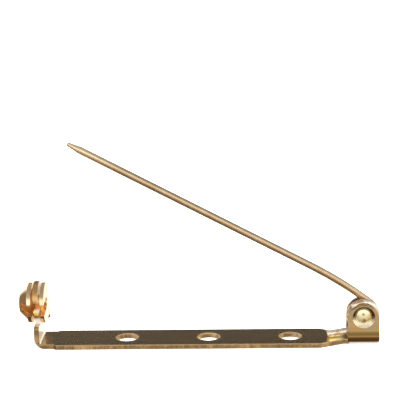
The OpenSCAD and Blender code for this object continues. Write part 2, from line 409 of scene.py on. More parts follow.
def soften(bench, shader, overall, *zones):
    """Lowers the metallic value everywhere, and by its own share in each masked zone."""
    value = 1.0 - overall
    for mask, share in zones:
        value = bench.minus(value, bench.times(mask, share))
    bench.feed(shader.inputs["Metallic"], value)


def spot_mask(bench, first, second, centre, inner, outer):
    """Mask of a round spot from two coordinates, with its centre and radii in millimetres."""
    along = bench.minus(first, centre[0] * MM)
    across = bench.minus(second, centre[1] * MM)
    return bench.fall(bench.length(along, across), (inner, outer))


def hole_masks(bench, x, y, span):
    """Masks round the three sewing holes: all round, and on their right side only."""
    around, right = 0.0, 0.0
    for hole_x in (-HOLE_PITCH, 0.0, HOLE_PITCH):
        spot = spot_mask(bench, x, y, (hole_x, 0.0), *span)
        side = bench.rise(x, (hole_x, hole_x + RIGHT_SIDE))
        around = bench.math("MAXIMUM", spot, around)
        right = bench.math("MAXIMUM", bench.times(spot, side), right)
    return around, right


def plate_material(settings):
    """Satin gold plate with rolled grain along the bar, painted highlights round the holes, on the neck
    before the hinge and on the post face, and a painted reflection band over the ear bends.
    """
    material, b, shader, place, (x, y, z) = start_material("Plated sheet")
    grain = place_group(b, "Satin grain", Place=place, Streak_Scale=3400.0, Grain_Scale=15000.0)
    tone = place_group(b, "Plating tone", Place=place, Scale=330.0, Tone=settings.sheet_color,
                       Warm=settings.sheet_warm, Cool=settings.sheet_cool)
    hair = place_group(b, "Hairline scratches", Place=place, Scale=800.0, Amount=0.3)
    scratched = hair.outputs["Mask"]
    color = b.tint(tone.outputs["Color"], grain.outputs["Streak"], STREAK_TONE, share=0.28)
    color = b.tint(color, scratched, SCRATCH_TONE, share=0.5)
    # Painted reflection: a dark golden band over the bends of the ears, standing in for the surround seen in
    # their curve.
    band = b.times(b.times(b.rise(z, BEND_BAND_FROM), b.fall(z, BEND_BAND_TO)), b.rise(x, EAR_FROM))
    color = b.tint(color, band, settings.bend_reflection_tone, share=0.85)
    # Painted highlight: a pale tone, with a lower metallic value, on the post face, where the bend catches
    # the white surround.
    post_face_highlight = b.times(b.rise(x, POST_FACE_FROM), b.fall(x, POST_FACE_TO))
    color = b.tint(color, post_face_highlight, settings.sheet_highlight_tone, share=0.9)
    # Painted highlight: a bright golden tone, with a lower metallic value, on the neck before the hinge.
    golden = b.times(b.rise(x, NECK_FROM), b.fall(x, NECK_TO))
    color = b.tint(color, golden, settings.neck_highlight_tone, share=0.8)
    # Painted highlight: a pale ring, with a lower metallic value, round each sewing hole.
    rim_highlight_mask = hole_masks(b, x, y, HOLE_RIM)[0]
    color = b.tint(color, rim_highlight_mask, settings.edge_highlight_tone, share=0.6)
    b.join(color, shader.inputs["Base Color"])
    soften(b, shader, 0.0, (post_face_highlight, 0.6), (golden, 0.55), (rim_highlight_mask, 0.25))
    rough = b.plus(b.times(grain.outputs["Grain"], 0.16), 0.14)
    b.join(b.plus(rough, b.times(scratched, 0.12)), shader.inputs["Roughness"])
    finish_bump(b, shader, b.minus(grain.outputs["Height"], b.times(scratched, 0.6)), 0.12, BUMP_FINE)
    return material


def sheared_material(settings):
    """Sheared sheet edge: rougher, warmer, with upright marks of the tool, and painted highlights along its
    top and bottom, on the hole walls and on the head and neck at the post.
    """
    material, b, shader, place, (x, y, z) = start_material("Sheared edge")
    marks = b.noise(place, 6000.0, 3.0, 0.6, (1.0, 1.0, 0.12))
    spots = b.noise(place, 3200.0, 1.0, 0.5, (1.0, 1.0, 0.4))
    tone = place_group(b, "Plating tone", Place=place, Scale=420.0, Tone=settings.edge_color,
                       Warm=settings.edge_warm, Cool=settings.sheet_color)
    color = b.mix(b.ramp(marks, 0.35, 0.7, 0.0, 0.4), tone.outputs["Color"], TOOL_MARK_TONE)
    # Pale specks in the highlight tone, scattered at random over the cut edges.
    color = b.mix(b.ramp(spots, 0.52, 0.68, 0.0, 0.35), color, settings.edge_highlight_tone)
    # Painted highlight: pale lines along the top and the bottom of the bar's cut edge, with a wavy border.
    rough_line = b.plus(z, b.times(b.minus(spots, 0.5), RIM_WAVE * MM))
    rim_highlight_mask = b.plus(b.rise(rough_line, RIM_ABOVE), b.times(b.fall(rough_line, RIM_BELOW), 0.65))
    cut_edge_highlight_mask = b.math("MULTIPLY", rim_highlight_mask, b.fall(z, BAR_TOP), clamp=True)
    color = b.tint(color, cut_edge_highlight_mask, settings.edge_highlight_tone, share=0.6)
    at_post = b.fall(x, POST_TO)
    # Painted highlight: a pale tone, with a lower metallic value, on the neck under the head.
    under_head_highlight = b.times(b.times(b.rise(z, SHOULDER_FROM), b.fall(z, UNDER_HEAD_HIGHLIGHT_TO)), at_post)
    color = b.tint(color, under_head_highlight, settings.sheet_highlight_tone, share=0.9)
    # Painted highlight: a golden glow, with a lower metallic value, on the head's lower half.
    glow = b.times(b.times(b.rise(z, GLOW_FROM), b.fall(z, GLOW_TO)), at_post)
    color = b.tint(color, glow, settings.glow_color, share=0.9)
    # Painted highlight: a pale tone, with a lower metallic value, on the gate's lower face.
    gate_highlight_mask = b.times(b.rise(z, LIP_FROM), glow)
    color = b.tint(color, gate_highlight_mask, settings.gate_highlight_tone, share=0.9)
    # Painted highlight: a warm orange tone on the head's upper half.
    color = b.tint(color, b.times(b.rise(z, HEAD_TOP_FROM), at_post), settings.upper_head_highlight_tone, share=0.6)
    # Painted highlight: a pale tone on the right side of each hole wall.
    hole_wall_highlight = b.times(hole_masks(b, x, y, HOLE_WALL)[1], b.ramp(spots, 0.3, 0.6, 0.5, 1.0))
    color = b.tint(color, hole_wall_highlight, settings.edge_highlight_tone, share=0.6)
    b.join(color, shader.inputs["Base Color"])
    b.join(b.ramp(marks, 0.3, 0.7, 0.3, 0.46), shader.inputs["Roughness"])
    soften(b, shader, 0.0, (under_head_highlight, 0.5), (glow, 0.5), (hole_wall_highlight, 0.3), (gate_highlight_mask, 0.3))
    finish_bump(b, shader, marks, 0.5, BUMP_EDGE)
    return material


def wire_material(settings, name, main, warm, cool, haze):
    """Drawn spring wire: smooth, with fine marks across it and specks, paler towards its point."""
    material, b, shader, place, (x, _, _) = start_material(name)
    tone = place_group(b, "Plating tone", Place=place, Scale=700.0, Tone=main, Warm=warm, Cool=cool)
    to_point = b.fall(x, POINT_TO)
    hair = place_group(b, "Hairline scratches", Place=place, Scale=1600.0, Amount=0.3)
    scratched = hair.outputs["Mask"]
    speck = b.noise(place, 6500.0, 2.0, 0.6)
    ticks = b.noise(place, 9000.0, 1.0, 0.5, (1.0, 0.25, 0.6))
    color = b.mix(b.ramp(speck, 0.5, 0.75, 0.0, 0.35), tone.outputs["Color"], settings.wire_dark)
    color = b.mix(b.ramp(ticks, 0.56, 0.7, 0.0, 0.45), color, settings.wire_dark)
    color = b.tint(color, to_point, settings.wire_point, share=0.5)
    b.join(color, shader.inputs["Base Color"])
    b.join(b.plus(b.times(speck, 0.14), b.times(scratched, 0.15)), shader.inputs["Roughness"])
    soften(b, shader, haze, (to_point, 0.03))
    finish_bump(b, shader, b.minus(speck, scratched), 0.2, BUMP_FINE)
    return material


def stem_material(settings):
    return wire_material(settings, "Drawn wire", settings.wire_color, settings.wire_warm,
                         settings.wire_cool, haze=0.07)


def coil_material(settings):
    return wire_material(settings, "Coil wire", settings.coil_color, settings.wire_warm,
                         settings.coil_pale, haze=0.12)


def catch_material(settings):
    """Bright plated catch: a painted golden glow inside, standing in for light bounced between the cheeks,
    and pale on the cone and on the near rim over the slot.
    """
    material, b, shader, place, (x, y, z) = start_material("Plated catch")
    tone = place_group(b, "Plating tone", Place=place, Scale=520.0, Tone=settings.catch_color,
                       Warm=settings.catch_warm, Cool=settings.catch_cool)
    hair = place_group(b, "Hairline scratches", Place=place, Scale=1500.0, Amount=0.3)
    grain = place_group(b, "Satin grain", Place=place, Streak_Scale=2500.0, Grain_Scale=16000.0)
    scratched = hair.outputs["Mask"]
    upward = b.minus(z, CATCH_Z * MM)
    round_axis = b.length(y, upward)
    into_cone = b.math("MAXIMUM", b.minus((-CATCH_X - CHEEK_IN) * MM, x), 0.0)
    beyond = b.plus(round_axis, b.times(into_cone, CAVITY_SLOPE))
    inside = b.times(b.fall(beyond, CAVITY_TO), b.fall(x, CHEEK_FACE_TO))
    outer = b.minus(-CATCH_X * MM, x)
    on_rim = b.times(b.rise(outer, OUTER_CHEEK_FROM), b.rise(round_axis, CHEEK_RIM_FROM))
    over_slot = b.times(b.rise(upward, OVER_SLOT_FROM), b.fall(upward, OVER_SLOT_TO))
    pale = b.math("MAXIMUM", b.rise(outer, CONE_FROM), b.times(on_rim, over_slot))
    color = b.tint(tone.outputs["Color"], pale, settings.catch_pale_tone, share=0.8)
    # Painted glow: a bright golden tone, with a lower metallic value, between the cheeks, standing in for
    # light bounced inside the catch.
    color = b.tint(color, inside, settings.catch_inside_glow, share=0.8)
    b.join(color, shader.inputs["Base Color"])
    soften(b, shader, 0.0, (inside, 0.5), (b.rise(z, CROWN_FROM), 0.14))
    b.join(b.plus(b.times(grain.outputs["Grain"], 0.2), b.times(scratched, 0.15)),
           shader.inputs["Roughness"])
    finish_bump(b, shader, b.minus(grain.outputs["Height"], scratched), 0.25, BUMP_FINE)
    return material


def recess_material(settings):
    """Wall of the punched recess round the rivet: painted shade above, painted highlight below."""
    material, b, shader, place, (_, _, z) = start_material("Punched recess")
    grain = place_group(b, "Satin grain", Place=place, Streak_Scale=3400.0, Grain_Scale=12000.0)
    wave = b.times(b.minus(grain.outputs["Streak"], 0.5), RIM_WAVE * MM)
    # Painted shade over the rivet and a painted highlight, with a lower metallic value, below it, split at a
    # wavy height.
    share = b.rise(b.plus(z, wave), RECESS_SHADE_FROM)
    b.join(b.mix(share, settings.recess_highlight_tone, settings.recess_shade_tone), shader.inputs["Base Color"])
    soften(b, shader, 0.2, (share, -0.2))
    b.join(b.plus(b.times(grain.outputs["Grain"], 0.2), 0.16), shader.inputs["Roughness"])
    finish_bump(b, shader, grain.outputs["Height"], 0.25, BUMP_FINE)
    return material


def rivet_material(settings):
    """Pale bright rivet end with the marks of its forming punch."""
    material, b, shader, place, (x, _, z) = start_material("Formed rivet")
    tone = place_group(b, "Plating tone", Place=place, Scale=900.0, Tone=settings.rivet_color,
                       Warm=settings.rivet_warm, Cool=settings.rivet_color)
    dents = b.noise(place, 2600.0, 2.0, 0.5)
    upper = spot_mask(b, x, z, (HINGE.x - 0.04, HINGE.z + 0.26), inner=0.08, outer=0.2)
    lower = spot_mask(b, x, z, (HINGE.x + 0.06, HINGE.z - 0.42), inner=0.1, outer=0.28)
    color = b.tint(tone.outputs["Color"], upper, settings.rivet_mark, share=0.9)
    b.join(b.tint(color, lower, settings.rivet_brown, share=0.85), shader.inputs["Base Color"])
    b.join(b.ramp(dents, 0.3, 0.7, 0.12, 0.28), shader.inputs["Roughness"])
    soften(b, shader, 0.12)
    finish_bump(b, shader, b.minus(dents, b.times(b.plus(upper, lower), 0.4)), 0.4, BUMP_RIVET)
    return material


def needed(name, maker, settings):
    return bpy.data.materials.get(name) or maker(settings)


def build_shared_groups():
    if "Satin grain" not in bpy.data.node_groups:
        build_satin_grain()
        build_scratches()
        build_plating_tone()


# Sheet parts

def merged_copy(node, name):
    """A clean copy of a solid's mesh: doubles merged and flat faces joined."""
    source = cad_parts[node]
    bm = bmesh.new()
    bm.from_mesh(source.data)
    bmesh.ops.remove_doubles(bm, verts=bm.verts, dist=MERGE_DISTANCE)
    bmesh.ops.dissolve_limit(bm, angle_limit=math.radians(FLAT_DEG), verts=bm.verts, edges=bm.edges)
    return mesh_object(name, bm)


def round_edges(obj, width, angle_deg=38.0):
    bevel = obj.modifiers.new("Rounded edges", "BEVEL")
    bevel.width = width
    bevel.segments = BEVEL_SEGMENTS
    bevel.limit_method = "ANGLE"
    bevel.angle_limit = math.radians(angle_deg)
    bevel.harden_normals = False
    bevel.use_clamp_overlap = True
    bevel.miter_outer = "MITER_ARC"
    bevel.material = 0
    return bake_modifiers(obj, obj.name)


def shade(obj, angle_deg=32.0):
    """Smooth shading with sharp edges over an angle, and normals that keep the large faces flat."""
    mesh = obj.data
    mesh.shade_smooth()
    bm = bmesh.new()
    bm.from_mesh(mesh)
    for edge in bm.edges:
        folded = len(edge.link_faces) == 2 and edge.calc_face_angle(0.0) > math.radians(angle_deg)
        edge.smooth = not folded
    bm.to_mesh(mesh)
    bm.free()
    weighted = obj.modifiers.new("Weighted normals", "WEIGHTED_NORMAL")
    weighted.weight = 100
    weighted.keep_sharp = True
    return bake_modifiers(obj, obj.name)


def plate_slot(centre, normal):
    """Material slot of a face of the plate by its place: its skin, a cut edge or a recess wall."""
    skin, cut, wall = 0, 1, 2
    x, y, z = (c / MM for c in centre)
    in_recess = math.hypot(x - HINGE.x, z - HINGE.z) < RECESS_R + 0.03
    at_hinge, at_post = x > EAR_LEFT + 0.02, x < -CATCH_X + 1.0
    if at_hinge and z > BEND_TOP_Z:
        if in_recess and 0.2 < abs(normal.y) < 0.95 and abs(y) > SEAT_Y:
            return wall
        return cut if abs(normal.y) < 0.3 and not in_recess else skin
    if at_hinge:
        return cut if abs(normal.x) > 0.7 else skin
    if at_post and z > POST_BEND_TOP_Z:
        return cut if abs(normal.x) < 0.4 else skin
    if at_post:
        return cut if abs(normal.y) > 0.9 else skin
    return cut if abs(normal.z) < 0.3 else skin


# Wire

def swing(point, degrees):
    """Turns a point of the XZ plane about the hinge axis; a positive turn lifts the far end."""
    a = math.radians(degrees)
    x, z = point
    return (x * math.cos(a) + z * math.sin(a), -x * math.sin(a) + z * math.cos(a))


def arc_points(centre, radius, start_deg, end_deg, step_deg):
    count = max(2, int(abs(end_deg - start_deg) / step_deg) + 1)
    points = []
    for i in range(count + 1):
        a = math.radians(start_deg + (end_deg - start_deg) * i / count)
        points.append((centre[0] + radius * math.cos(a), centre[1] + radius * math.sin(a)))
    return points


def in_place(path, lean):
    """From the leaned hinge frame, in millimetres, to the shared frame, in metres."""
    turn = Matrix.Rotation(lean, 4, "Z")
    return [((turn @ Vector(p[:3])) + COIL) * MM for p in path]


def stem_path(wire):
    """Centre line and thickness of the stem's wire, from inside the coil to the point."""
    lift, arc_r, coil_r = STEM_LIFT_DEG, STEM_ARC_R, wire.coil_radius / MM
    opening = math.degrees(wire.opening)
    lift_rad = math.radians(lift)
    rise = coil_r * math.cos(lift_rad) + arc_r * (1.0 - math.cos(lift_rad))
    start = (arc_r - coil_r) * math.sin(lift_rad)
    half = wire.wire_diameter / MM / 2.0
    tip, taper = wire.point_radius / MM, wire.point_length / MM
    reach = wire.pin_reach / MM
    flat = arc_points((0.0, 0.0), coil_r, STEM_TURN_FROM_DEG + opening, 90.0 - lift, 5.0)
    flat += arc_points((-start, rise - arc_r), arc_r, 90.0 - lift, 90.0, 1.0)[1:]
    flat = [(p[0], p[1], half) for p in flat]
    taper_from = reach - tip - taper
    x = start
    while x + STEM_STEP < taper_from:
        x += STEM_STEP
        flat.append((-x, rise, half))
    for i in range(TAPER_STEPS + 1):
        t = i / TAPER_STEPS
        soft = t + TAPER_BULGE * math.sin(math.pi * t)
        radius = half + (tip - half) * soft * t ** TAPER_START
        flat.append((-(taper_from + taper * t), rise, radius))
    for i in range(1, CAP_STEPS + 1):
        a = math.radians(90.0 / CAP_STEPS * i)
        radius = tip * math.cos(a) if i < CAP_STEPS else tip * CAP_END_SHARE
        flat.append((-(reach - tip + tip * math.sin(a)), rise, radius))
    path = []
    for x, z, radius in flat:
        sx, sz = swing((x, z), opening)
        path.append((sx, TURN_Y, sz, radius))
    return path


def tail_path(wire):
    """Centre line of the tail, the first turn, the crossing and a stretch of the second turn."""
    lift, arc_r, coil_r = TAIL_LIFT_DEG, TAIL_ARC_R, wire.coil_radius / MM
    lift_rad, tail_rad = math.radians(lift), math.radians(TAIL_DEG)
    rise = coil_r * math.cos(lift_rad) + arc_r * (1.0 - math.cos(lift_rad))
    start = (arc_r - coil_r) * math.sin(lift_rad)
    reach = (COIL.x - TAIL_END_X) / math.cos(tail_rad) + rise * math.tan(tail_rad)
    half = wire.wire_diameter / MM / 2.0
    flat = [(-reach, rise, half * TAIL_END_SHARE), (-reach + TAIL_END_LENGTH, rise, half),
            (-(reach + start) / 2.0, rise, half)]
    lifted = arc_points((-start, rise - arc_r), arc_r, 90.0 - lift, 90.0, 1.0)
    flat += [(p[0], p[1], half) for p in reversed(lifted)]
    path = []
    for x, z, radius in flat:
        sx, sz = swing((x, -z), -TAIL_DEG)
        path.append((sx, -TURN_Y, sz, radius))
    turn_from = lift - 90.0 + TAIL_DEG
    turn = arc_points((0.0, 0.0), coil_r, turn_from, TAIL_TURN_TO_DEG, 4.0)
    for i, (x, z) in enumerate(turn[1:], 1):
        angle = turn_from + (TAIL_TURN_TO_DEG - turn_from) * i / (len(turn) - 1)
        y = TURN_Y * (2.0 * smooth_step(CROSS_FROM_DEG, CROSS_TO_DEG, angle) - 1.0)
        path.append((x, y, z, half - TURN_SLACK))
    return path


def wire_tree():
    """Geometry nodes that sweep a round wire along a curve."""
    name = "Wire sweep"
    if name in bpy.data.node_groups:
        return bpy.data.node_groups[name]
    b, given, out = new_group(name, [
        ("Geometry", "NodeSocketGeometry", None),
        ("Wire Diameter", "NodeSocketFloat", 0.00078),
        ("Sides", "NodeSocketInt", WIRE_SIDES),
        ("Material", "NodeSocketMaterial", None),
    ], [("Geometry", "NodeSocketGeometry")], "GeometryNodeTree")
    b.tree.interface.items_tree["Wire Diameter"].subtype = "DISTANCE"
    circle = b.add("GeometryNodeCurvePrimitiveCircle")
    b.join(b.times(given.outputs["Wire Diameter"], 0.5), circle.inputs["Radius"])
    b.join(given.outputs["Sides"], circle.inputs["Resolution"])
    sweep = b.add("GeometryNodeCurveToMesh")
    b.join(given.outputs["Geometry"], sweep.inputs["Curve"])
    b.join(circle.outputs["Curve"], sweep.inputs["Profile Curve"])
    sweep.inputs["Fill Caps"].default_value = True
    if "Scale" in sweep.inputs:
        b.join(b.add("GeometryNodeInputRadius").outputs[0], sweep.inputs["Scale"])
    smooth = b.add("GeometryNodeSetShadeSmooth")
    b.join(sweep.outputs["Mesh"], smooth.inputs["Geometry"])
    real = b.add("GeometryNodeRealizeInstances")
    b.join(smooth.outputs["Geometry"], real.inputs["Geometry"])
    paint = b.add("GeometryNodeSetMaterial")
    b.join(real.outputs["Geometry"], paint.inputs["Geometry"])
    b.join(given.outputs["Material"], paint.inputs["Material"])
    b.join(paint.outputs["Geometry"], out.inputs["Geometry"])
    return b.tree


def set_input(modifier, label, value):
    for item in modifier.node_group.interface.items_tree:
        if item.in_out == "INPUT" and item.name == label:
            modifier[item.identifier] = value
            return
    raise ValueError("the tree has no input named " + label)


def sweep_wire(name, path, wire, material):
    """A round wire along a path whose points hold a place and a radius in millimetres."""
    curve = bpy.data.curves.new(name + "_path", "CURVE")
    curve.dimensions = "3D"
    spline = curve.splines.new("POLY")
    spline.points.add(len(path) - 1)
    for point, place, radius in zip(spline.points, in_place(path, wire.lean), (p[3] for p in path)):
        point.co = (*place, 1.0)
        point.radius = radius * MM * 2.0 / wire.wire_diameter
    host = link(bpy.data.objects.new(name + "_path", curve))
    modifier = host.modifiers.new("Wire sweep", "NODES")
    modifier.node_group = wire_tree()
    set_input(modifier, "Wire Diameter", wire.wire_diameter)
    set_input(modifier, "Sides", WIRE_SIDES)
    set_input(modifier, "Material", material)
    return bake_modifiers(host, name)


# Settings

def color_property(name, description, default):
    """A colour setting, given as red, green and blue."""
    return bpy.props.FloatVectorProperty(name=name, description=description, default=(*default, 1.0),
                                         size=4, subtype="COLOR")


def length_property(name, description, default, lowest=0.0):
    return bpy.props.FloatProperty(name=name, description=description, default=default, min=lowest,
                                   unit="LENGTH")


def angle_property(name, description, degrees):
    return bpy.props.FloatProperty(name=name, description=description, default=math.radians(degrees),
                                   unit="ROTATION")


class PlateSettings(bpy.types.PropertyGroup):
    edge_round: length_property(
        name="Edge rounding", description="Rounding of the sheet's cut edges", default=0.0001)
    sheet_color: color_property(
        name="Sheet", description="Main tone of the plated sheet", default=(0.84, 0.57, 0.26))
    sheet_warm: color_property(
        name="Sheet, warm", description="Reddish tone of the sheet's plating", default=(0.78, 0.53, 0.28))
    sheet_cool: color_property(
        name="Sheet, cool", description="Greyish tone of the sheet's plating", default=(0.76, 0.58, 0.34))
    # Painted highlight on the post face and on the neck under the head.
    sheet_highlight_tone: color_property(
        name="Sheet, painted highlight", description="Pale tone of the neck under the head", default=(0.92, 0.84, 0.70))
    edge_color: color_property(
        name="Cut edge", description="Main tone of the cut edges", default=(0.40, 0.27, 0.13))
    # Tone of the painted highlights along the cut edges of the bar, round the holes and on the hole walls,
    # and of the pale specks of the cut edges.
    edge_highlight_tone: color_property(
        name="Cut edge, rim", description="Painted highlight on the rim of the cut edges", default=(0.82, 0.62, 0.40))
    edge_warm: color_property(
        name="Cut edge, warm", description="Second tone of the cut edges", default=(0.52, 0.36, 0.20))
    # Tone of the painted reflection band over the bends of the ears.
    bend_reflection_tone: color_property(
        name="Bend band", description="Golden band over the bends of the ears", default=(0.30, 0.19, 0.04))
    # Painted golden highlight on the neck before the hinge.
    neck_highlight_tone: color_property(
        name="Neck", description="Golden tone of the neck before the hinge", default=(1.0, 0.82, 0.30))
    # Painted golden highlight on the head's lower half.
    glow_color: color_property(
        name="Head, below", description="Golden tone of the head's lower half", default=(0.90, 0.56, 0.07))
    # Painted warm highlight on the head's upper half.
    upper_head_highlight_tone: color_property(
        name="Head, above", description="Painted warm highlight on the edge of the head's upper half", default=(0.82, 0.48, 0.17))
    # Painted highlight on the gate's lower face.
    gate_highlight_tone: color_property(
        name="Gate, below", description="Pale tone of the gate's lower face", default=(1.0, 0.93, 0.72))
    # Painted highlight in the lower part of the recess.
    recess_highlight_tone: color_property(
        name="Recess, below", description="Tone of the recess under the rivet", default=(0.95, 0.88, 0.72))
    # Painted shade in the upper part of the recess.
    recess_shade_tone: color_property(
        name="Recess, above", description="Painted shade tone over the rivet", default=(0.07, 0.04, 0.02))


class WireSettings(bpy.types.PropertyGroup):
    wire_diameter: length_property(
        name="Wire diameter", description="Diameter of the spring wire", default=0.00078, lowest=0.0001)
    coil_radius: length_property(
        name="Coil radius", description="Radius of a coil turn at the wire's middle",
        default=0.0014, lowest=0.0005)
    pin_reach: length_property(
        name="Pin reach", description="Distance from the hinge axis to the pin's tip",
        default=0.036, lowest=0.01)
    point_length: length_property(
        name="Point length", description="Length of the pin's taper", default=0.0013, lowest=0.0002)
    point_radius: length_property(
        name="Point radius", description="Radius of the pin's blunt end", default=0.00022, lowest=0.00002)
    opening: angle_property(
        name="Opening", description="Angle of the pin over its closed place", degrees=29.25)
    lean: angle_property(name="Lean", description="Sideways lean of the pin at rest", degrees=5.5)
    wire_color: color_property(name="Wire", description="Main tone of the wire", default=(0.56, 0.41, 0.25))
    wire_warm: color_property(
        name="Wire, warm", description="Reddish tone of the wire", default=(0.545, 0.38, 0.225))
    wire_cool: color_property(
        name="Wire, cool", description="Pale tone of the wire", default=(0.60, 0.475, 0.315))
    wire_dark: color_property(
        name="Wire marks", description="Tone of the specks and drawing marks", default=(0.42, 0.29, 0.16))
    wire_point: color_property(
        name="Wire, point", description="Pale tone of the ground point", default=(0.95, 0.78, 0.52))
    coil_color: color_property(
        name="Coil", description="Main tone of the coil, paler than the stem", default=(0.92, 0.80, 0.64))
    # Paler tone that the coil's colour drifts towards at random.
    coil_pale: color_property(
        name="Coil, pale", description="Pale drift tone of the coil", default=(0.93, 0.91, 0.88))


class CatchSettings(bpy.types.PropertyGroup):
    edge_round: length_property(
        name="Edge rounding", description="Rounding of the catch's edges", default=0.00006)
    catch_color: color_property(
        name="Catch", description="Main tone of the turning catch", default=(0.90, 0.66, 0.38))
    catch_warm: color_property(
        name="Catch, warm", description="Orange tone of the turning catch", default=(0.87, 0.59, 0.30))
    # Painted glow between the cheeks of the catch.
    catch_inside_glow: color_property(
        name="Catch, inside", description="Golden tone between the cheeks", default=(0.98, 0.54, 0.14))
    # Paler tone on the cone and on the near rim over the slot.
    catch_pale_tone: color_property(
        name="Catch, pale", description="Pale tone of the cone and the near rim", default=(0.96, 0.80, 0.58))
    catch_cool: color_property(
        name="Catch, cool", description="Pale tone of the turning catch", default=(0.86, 0.69, 0.46))


class RivetSettings(bpy.types.PropertyGroup):
    head_radius: length_property(
        name="Head radius", description="Radius of the formed rivet end", default=0.00082, lowest=0.0003)
    rivet_color: color_property(
        name="Rivet", description="Main tone of the rivet", default=(1.0, 0.91, 0.60))
    rivet_warm: color_property(
        name="Rivet, warm", description="Second tone of the rivet", default=(0.75, 0.46, 0.16))
    rivet_brown: color_property(
        name="Rivet, brown", description="Brown tone under the punch mark", default=(0.52, 0.30, 0.10))
    rivet_mark: color_property(
        name="Rivet mark", description="Olive tone of the punch mark", default=(0.34, 0.28, 0.10))


class StageSettings(bpy.types.PropertyGroup):
    distance: length_property(
        name="Camera distance", description="From the bar's middle to the camera", default=0.146, lowest=0.05)
    elevation: angle_property(name="Elevation", description="Camera's downward tilt", degrees=14.669)
    yaw: angle_property(name="Yaw", description="Camera's turn about the upright axis", degrees=-2.129)
    roll: angle_property(name="Roll", description="Camera's turn about its own axis", degrees=-1.208)
    aim_left: length_property(
        name="Sideways offset", description="Camera's offset to its left", default=0.000928, lowest=-0.1)
    aim_up: length_property(
        name="Upward offset", description="Camera's offset upwards", default=0.014592, lowest=-0.1)
    scale_px: bpy.props.FloatProperty(name="Scale", description="Pixels to a millimetre at the bar's middle",
                                      default=9.356)
    floor_size: length_property(name="Floor size", description="Side of the floor", default=3.0)
    floor_color: color_property(
        name="Floor", description="Colour of the floor", default=(0.93, 0.93, 0.925))
    light_power: bpy.props.FloatProperty(name="Light", description="Strength of the top light, in watts",
                                         default=2.2)


# Operators

class BROOCHPIN_OT_plate(bpy.types.Operator):
    """Dresses the stamped plate: rounded cut edges, satin skins and sheared edges"""
    bl_idname = "broochpin.plate"
    bl_label = "Stamped plate"

    def execute(self, context):
        settings = context.scene.broochpin_plate
        obj = merged_copy("base_plate", "stamped_plate")
        mesh = obj.data
        mesh.materials.append(needed("Plated sheet", plate_material, settings))
        mesh.materials.append(needed("Sheared edge", sheared_material, settings))
        mesh.materials.append(needed("Punched recess", recess_material, settings))
        for polygon in mesh.polygons:
            polygon.material_index = plate_slot(polygon.center, polygon.normal)
        obj = shade(round_edges(obj, settings.edge_round))
        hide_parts("base_plate")
        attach(obj, "base")
        return {"FINISHED"}


class BROOCHPIN_OT_rivet(bpy.types.Operator):
    """Builds the rivet through the ears, with a formed and domed end in each recess"""
    bl_idname = "broochpin.rivet"
    bl_label = "Hinge rivet"

    def execute(self, context):
        settings = context.scene.broochpin_rivet
        head = settings.head_radius / MM
        dome = [(0.0, 0.24), (0.12, 0.238), (0.25, 0.23), (0.38, 0.214), (0.5, 0.192), (head - 0.2, 0.165),
                (head - 0.1, 0.13), (head - 0.03, 0.09), (head, 0.04), (head - 0.01, 0.0), (RIVET_R, 0.0)]
        half = [(r, SEAT_Y + h) for r, h in dome] + [(RIVET_R, 0.0)]
        profile = half + [(r, -h) for r, h in reversed(half[:-1])]
        bm = turned_profile(profile, RIVET_STEPS)
        across = Matrix.Translation(HINGE * MM) @ Matrix.Rotation(math.pi / 2, 4, "X")
        bmesh.ops.transform(bm, matrix=across, verts=bm.verts)
        bmesh.ops.recalc_face_normals(bm, faces=bm.faces)
        obj = mesh_object("formed_rivet", bm)
        obj.data.materials.append(needed("Formed rivet", rivet_material, settings))
        obj = shade(obj, ROUND_SMOOTH_DEG)
        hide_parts("hinge_rivet")
        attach(obj, "base")
        return {"FINISHED"}


class BROOCHPIN_OT_wire(bpy.types.Operator):
    """Sweeps the spring wire: tail and coil on the hinge, and the stem with its point"""
    bl_idname = "broochpin.wire"
    bl_label = "Spring wire"

    def execute(self, context):
        wire = context.scene.broochpin_wire
        coiled = needed("Coil wire", coil_material, wire)
        drawn = needed("Drawn wire", stem_material, wire)
        tail = sweep_wire("spring_coil", tail_path(wire), wire, coiled)
        stem = sweep_wire("stem_wire", stem_path(wire), wire, drawn)
        for obj, node, body in ((tail, "spring_tail", "spring"), (stem, "pin_stem", "pin")):
            obj = shade(obj, ROUND_SMOOTH_DEG)
            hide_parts(node)
            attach(obj, body)
        return {"FINISHED"}


class BROOCHPIN_OT_catch(bpy.types.Operator):
    """Dresses the turning catch with rounded edges and a bright plating"""
    bl_idname = "broochpin.catch"
    bl_label = "Turning catch"

    def execute(self, context):
        settings = context.scene.broochpin_catch
        obj = merged_copy("catch_rotor", "turning_catch")
        obj.data.materials.append(needed("Plated catch", catch_material, settings))
        obj = shade(round_edges(obj, settings.edge_round))
        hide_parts("catch_rotor")
        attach(obj, "catch")
        return {"FINISHED"}


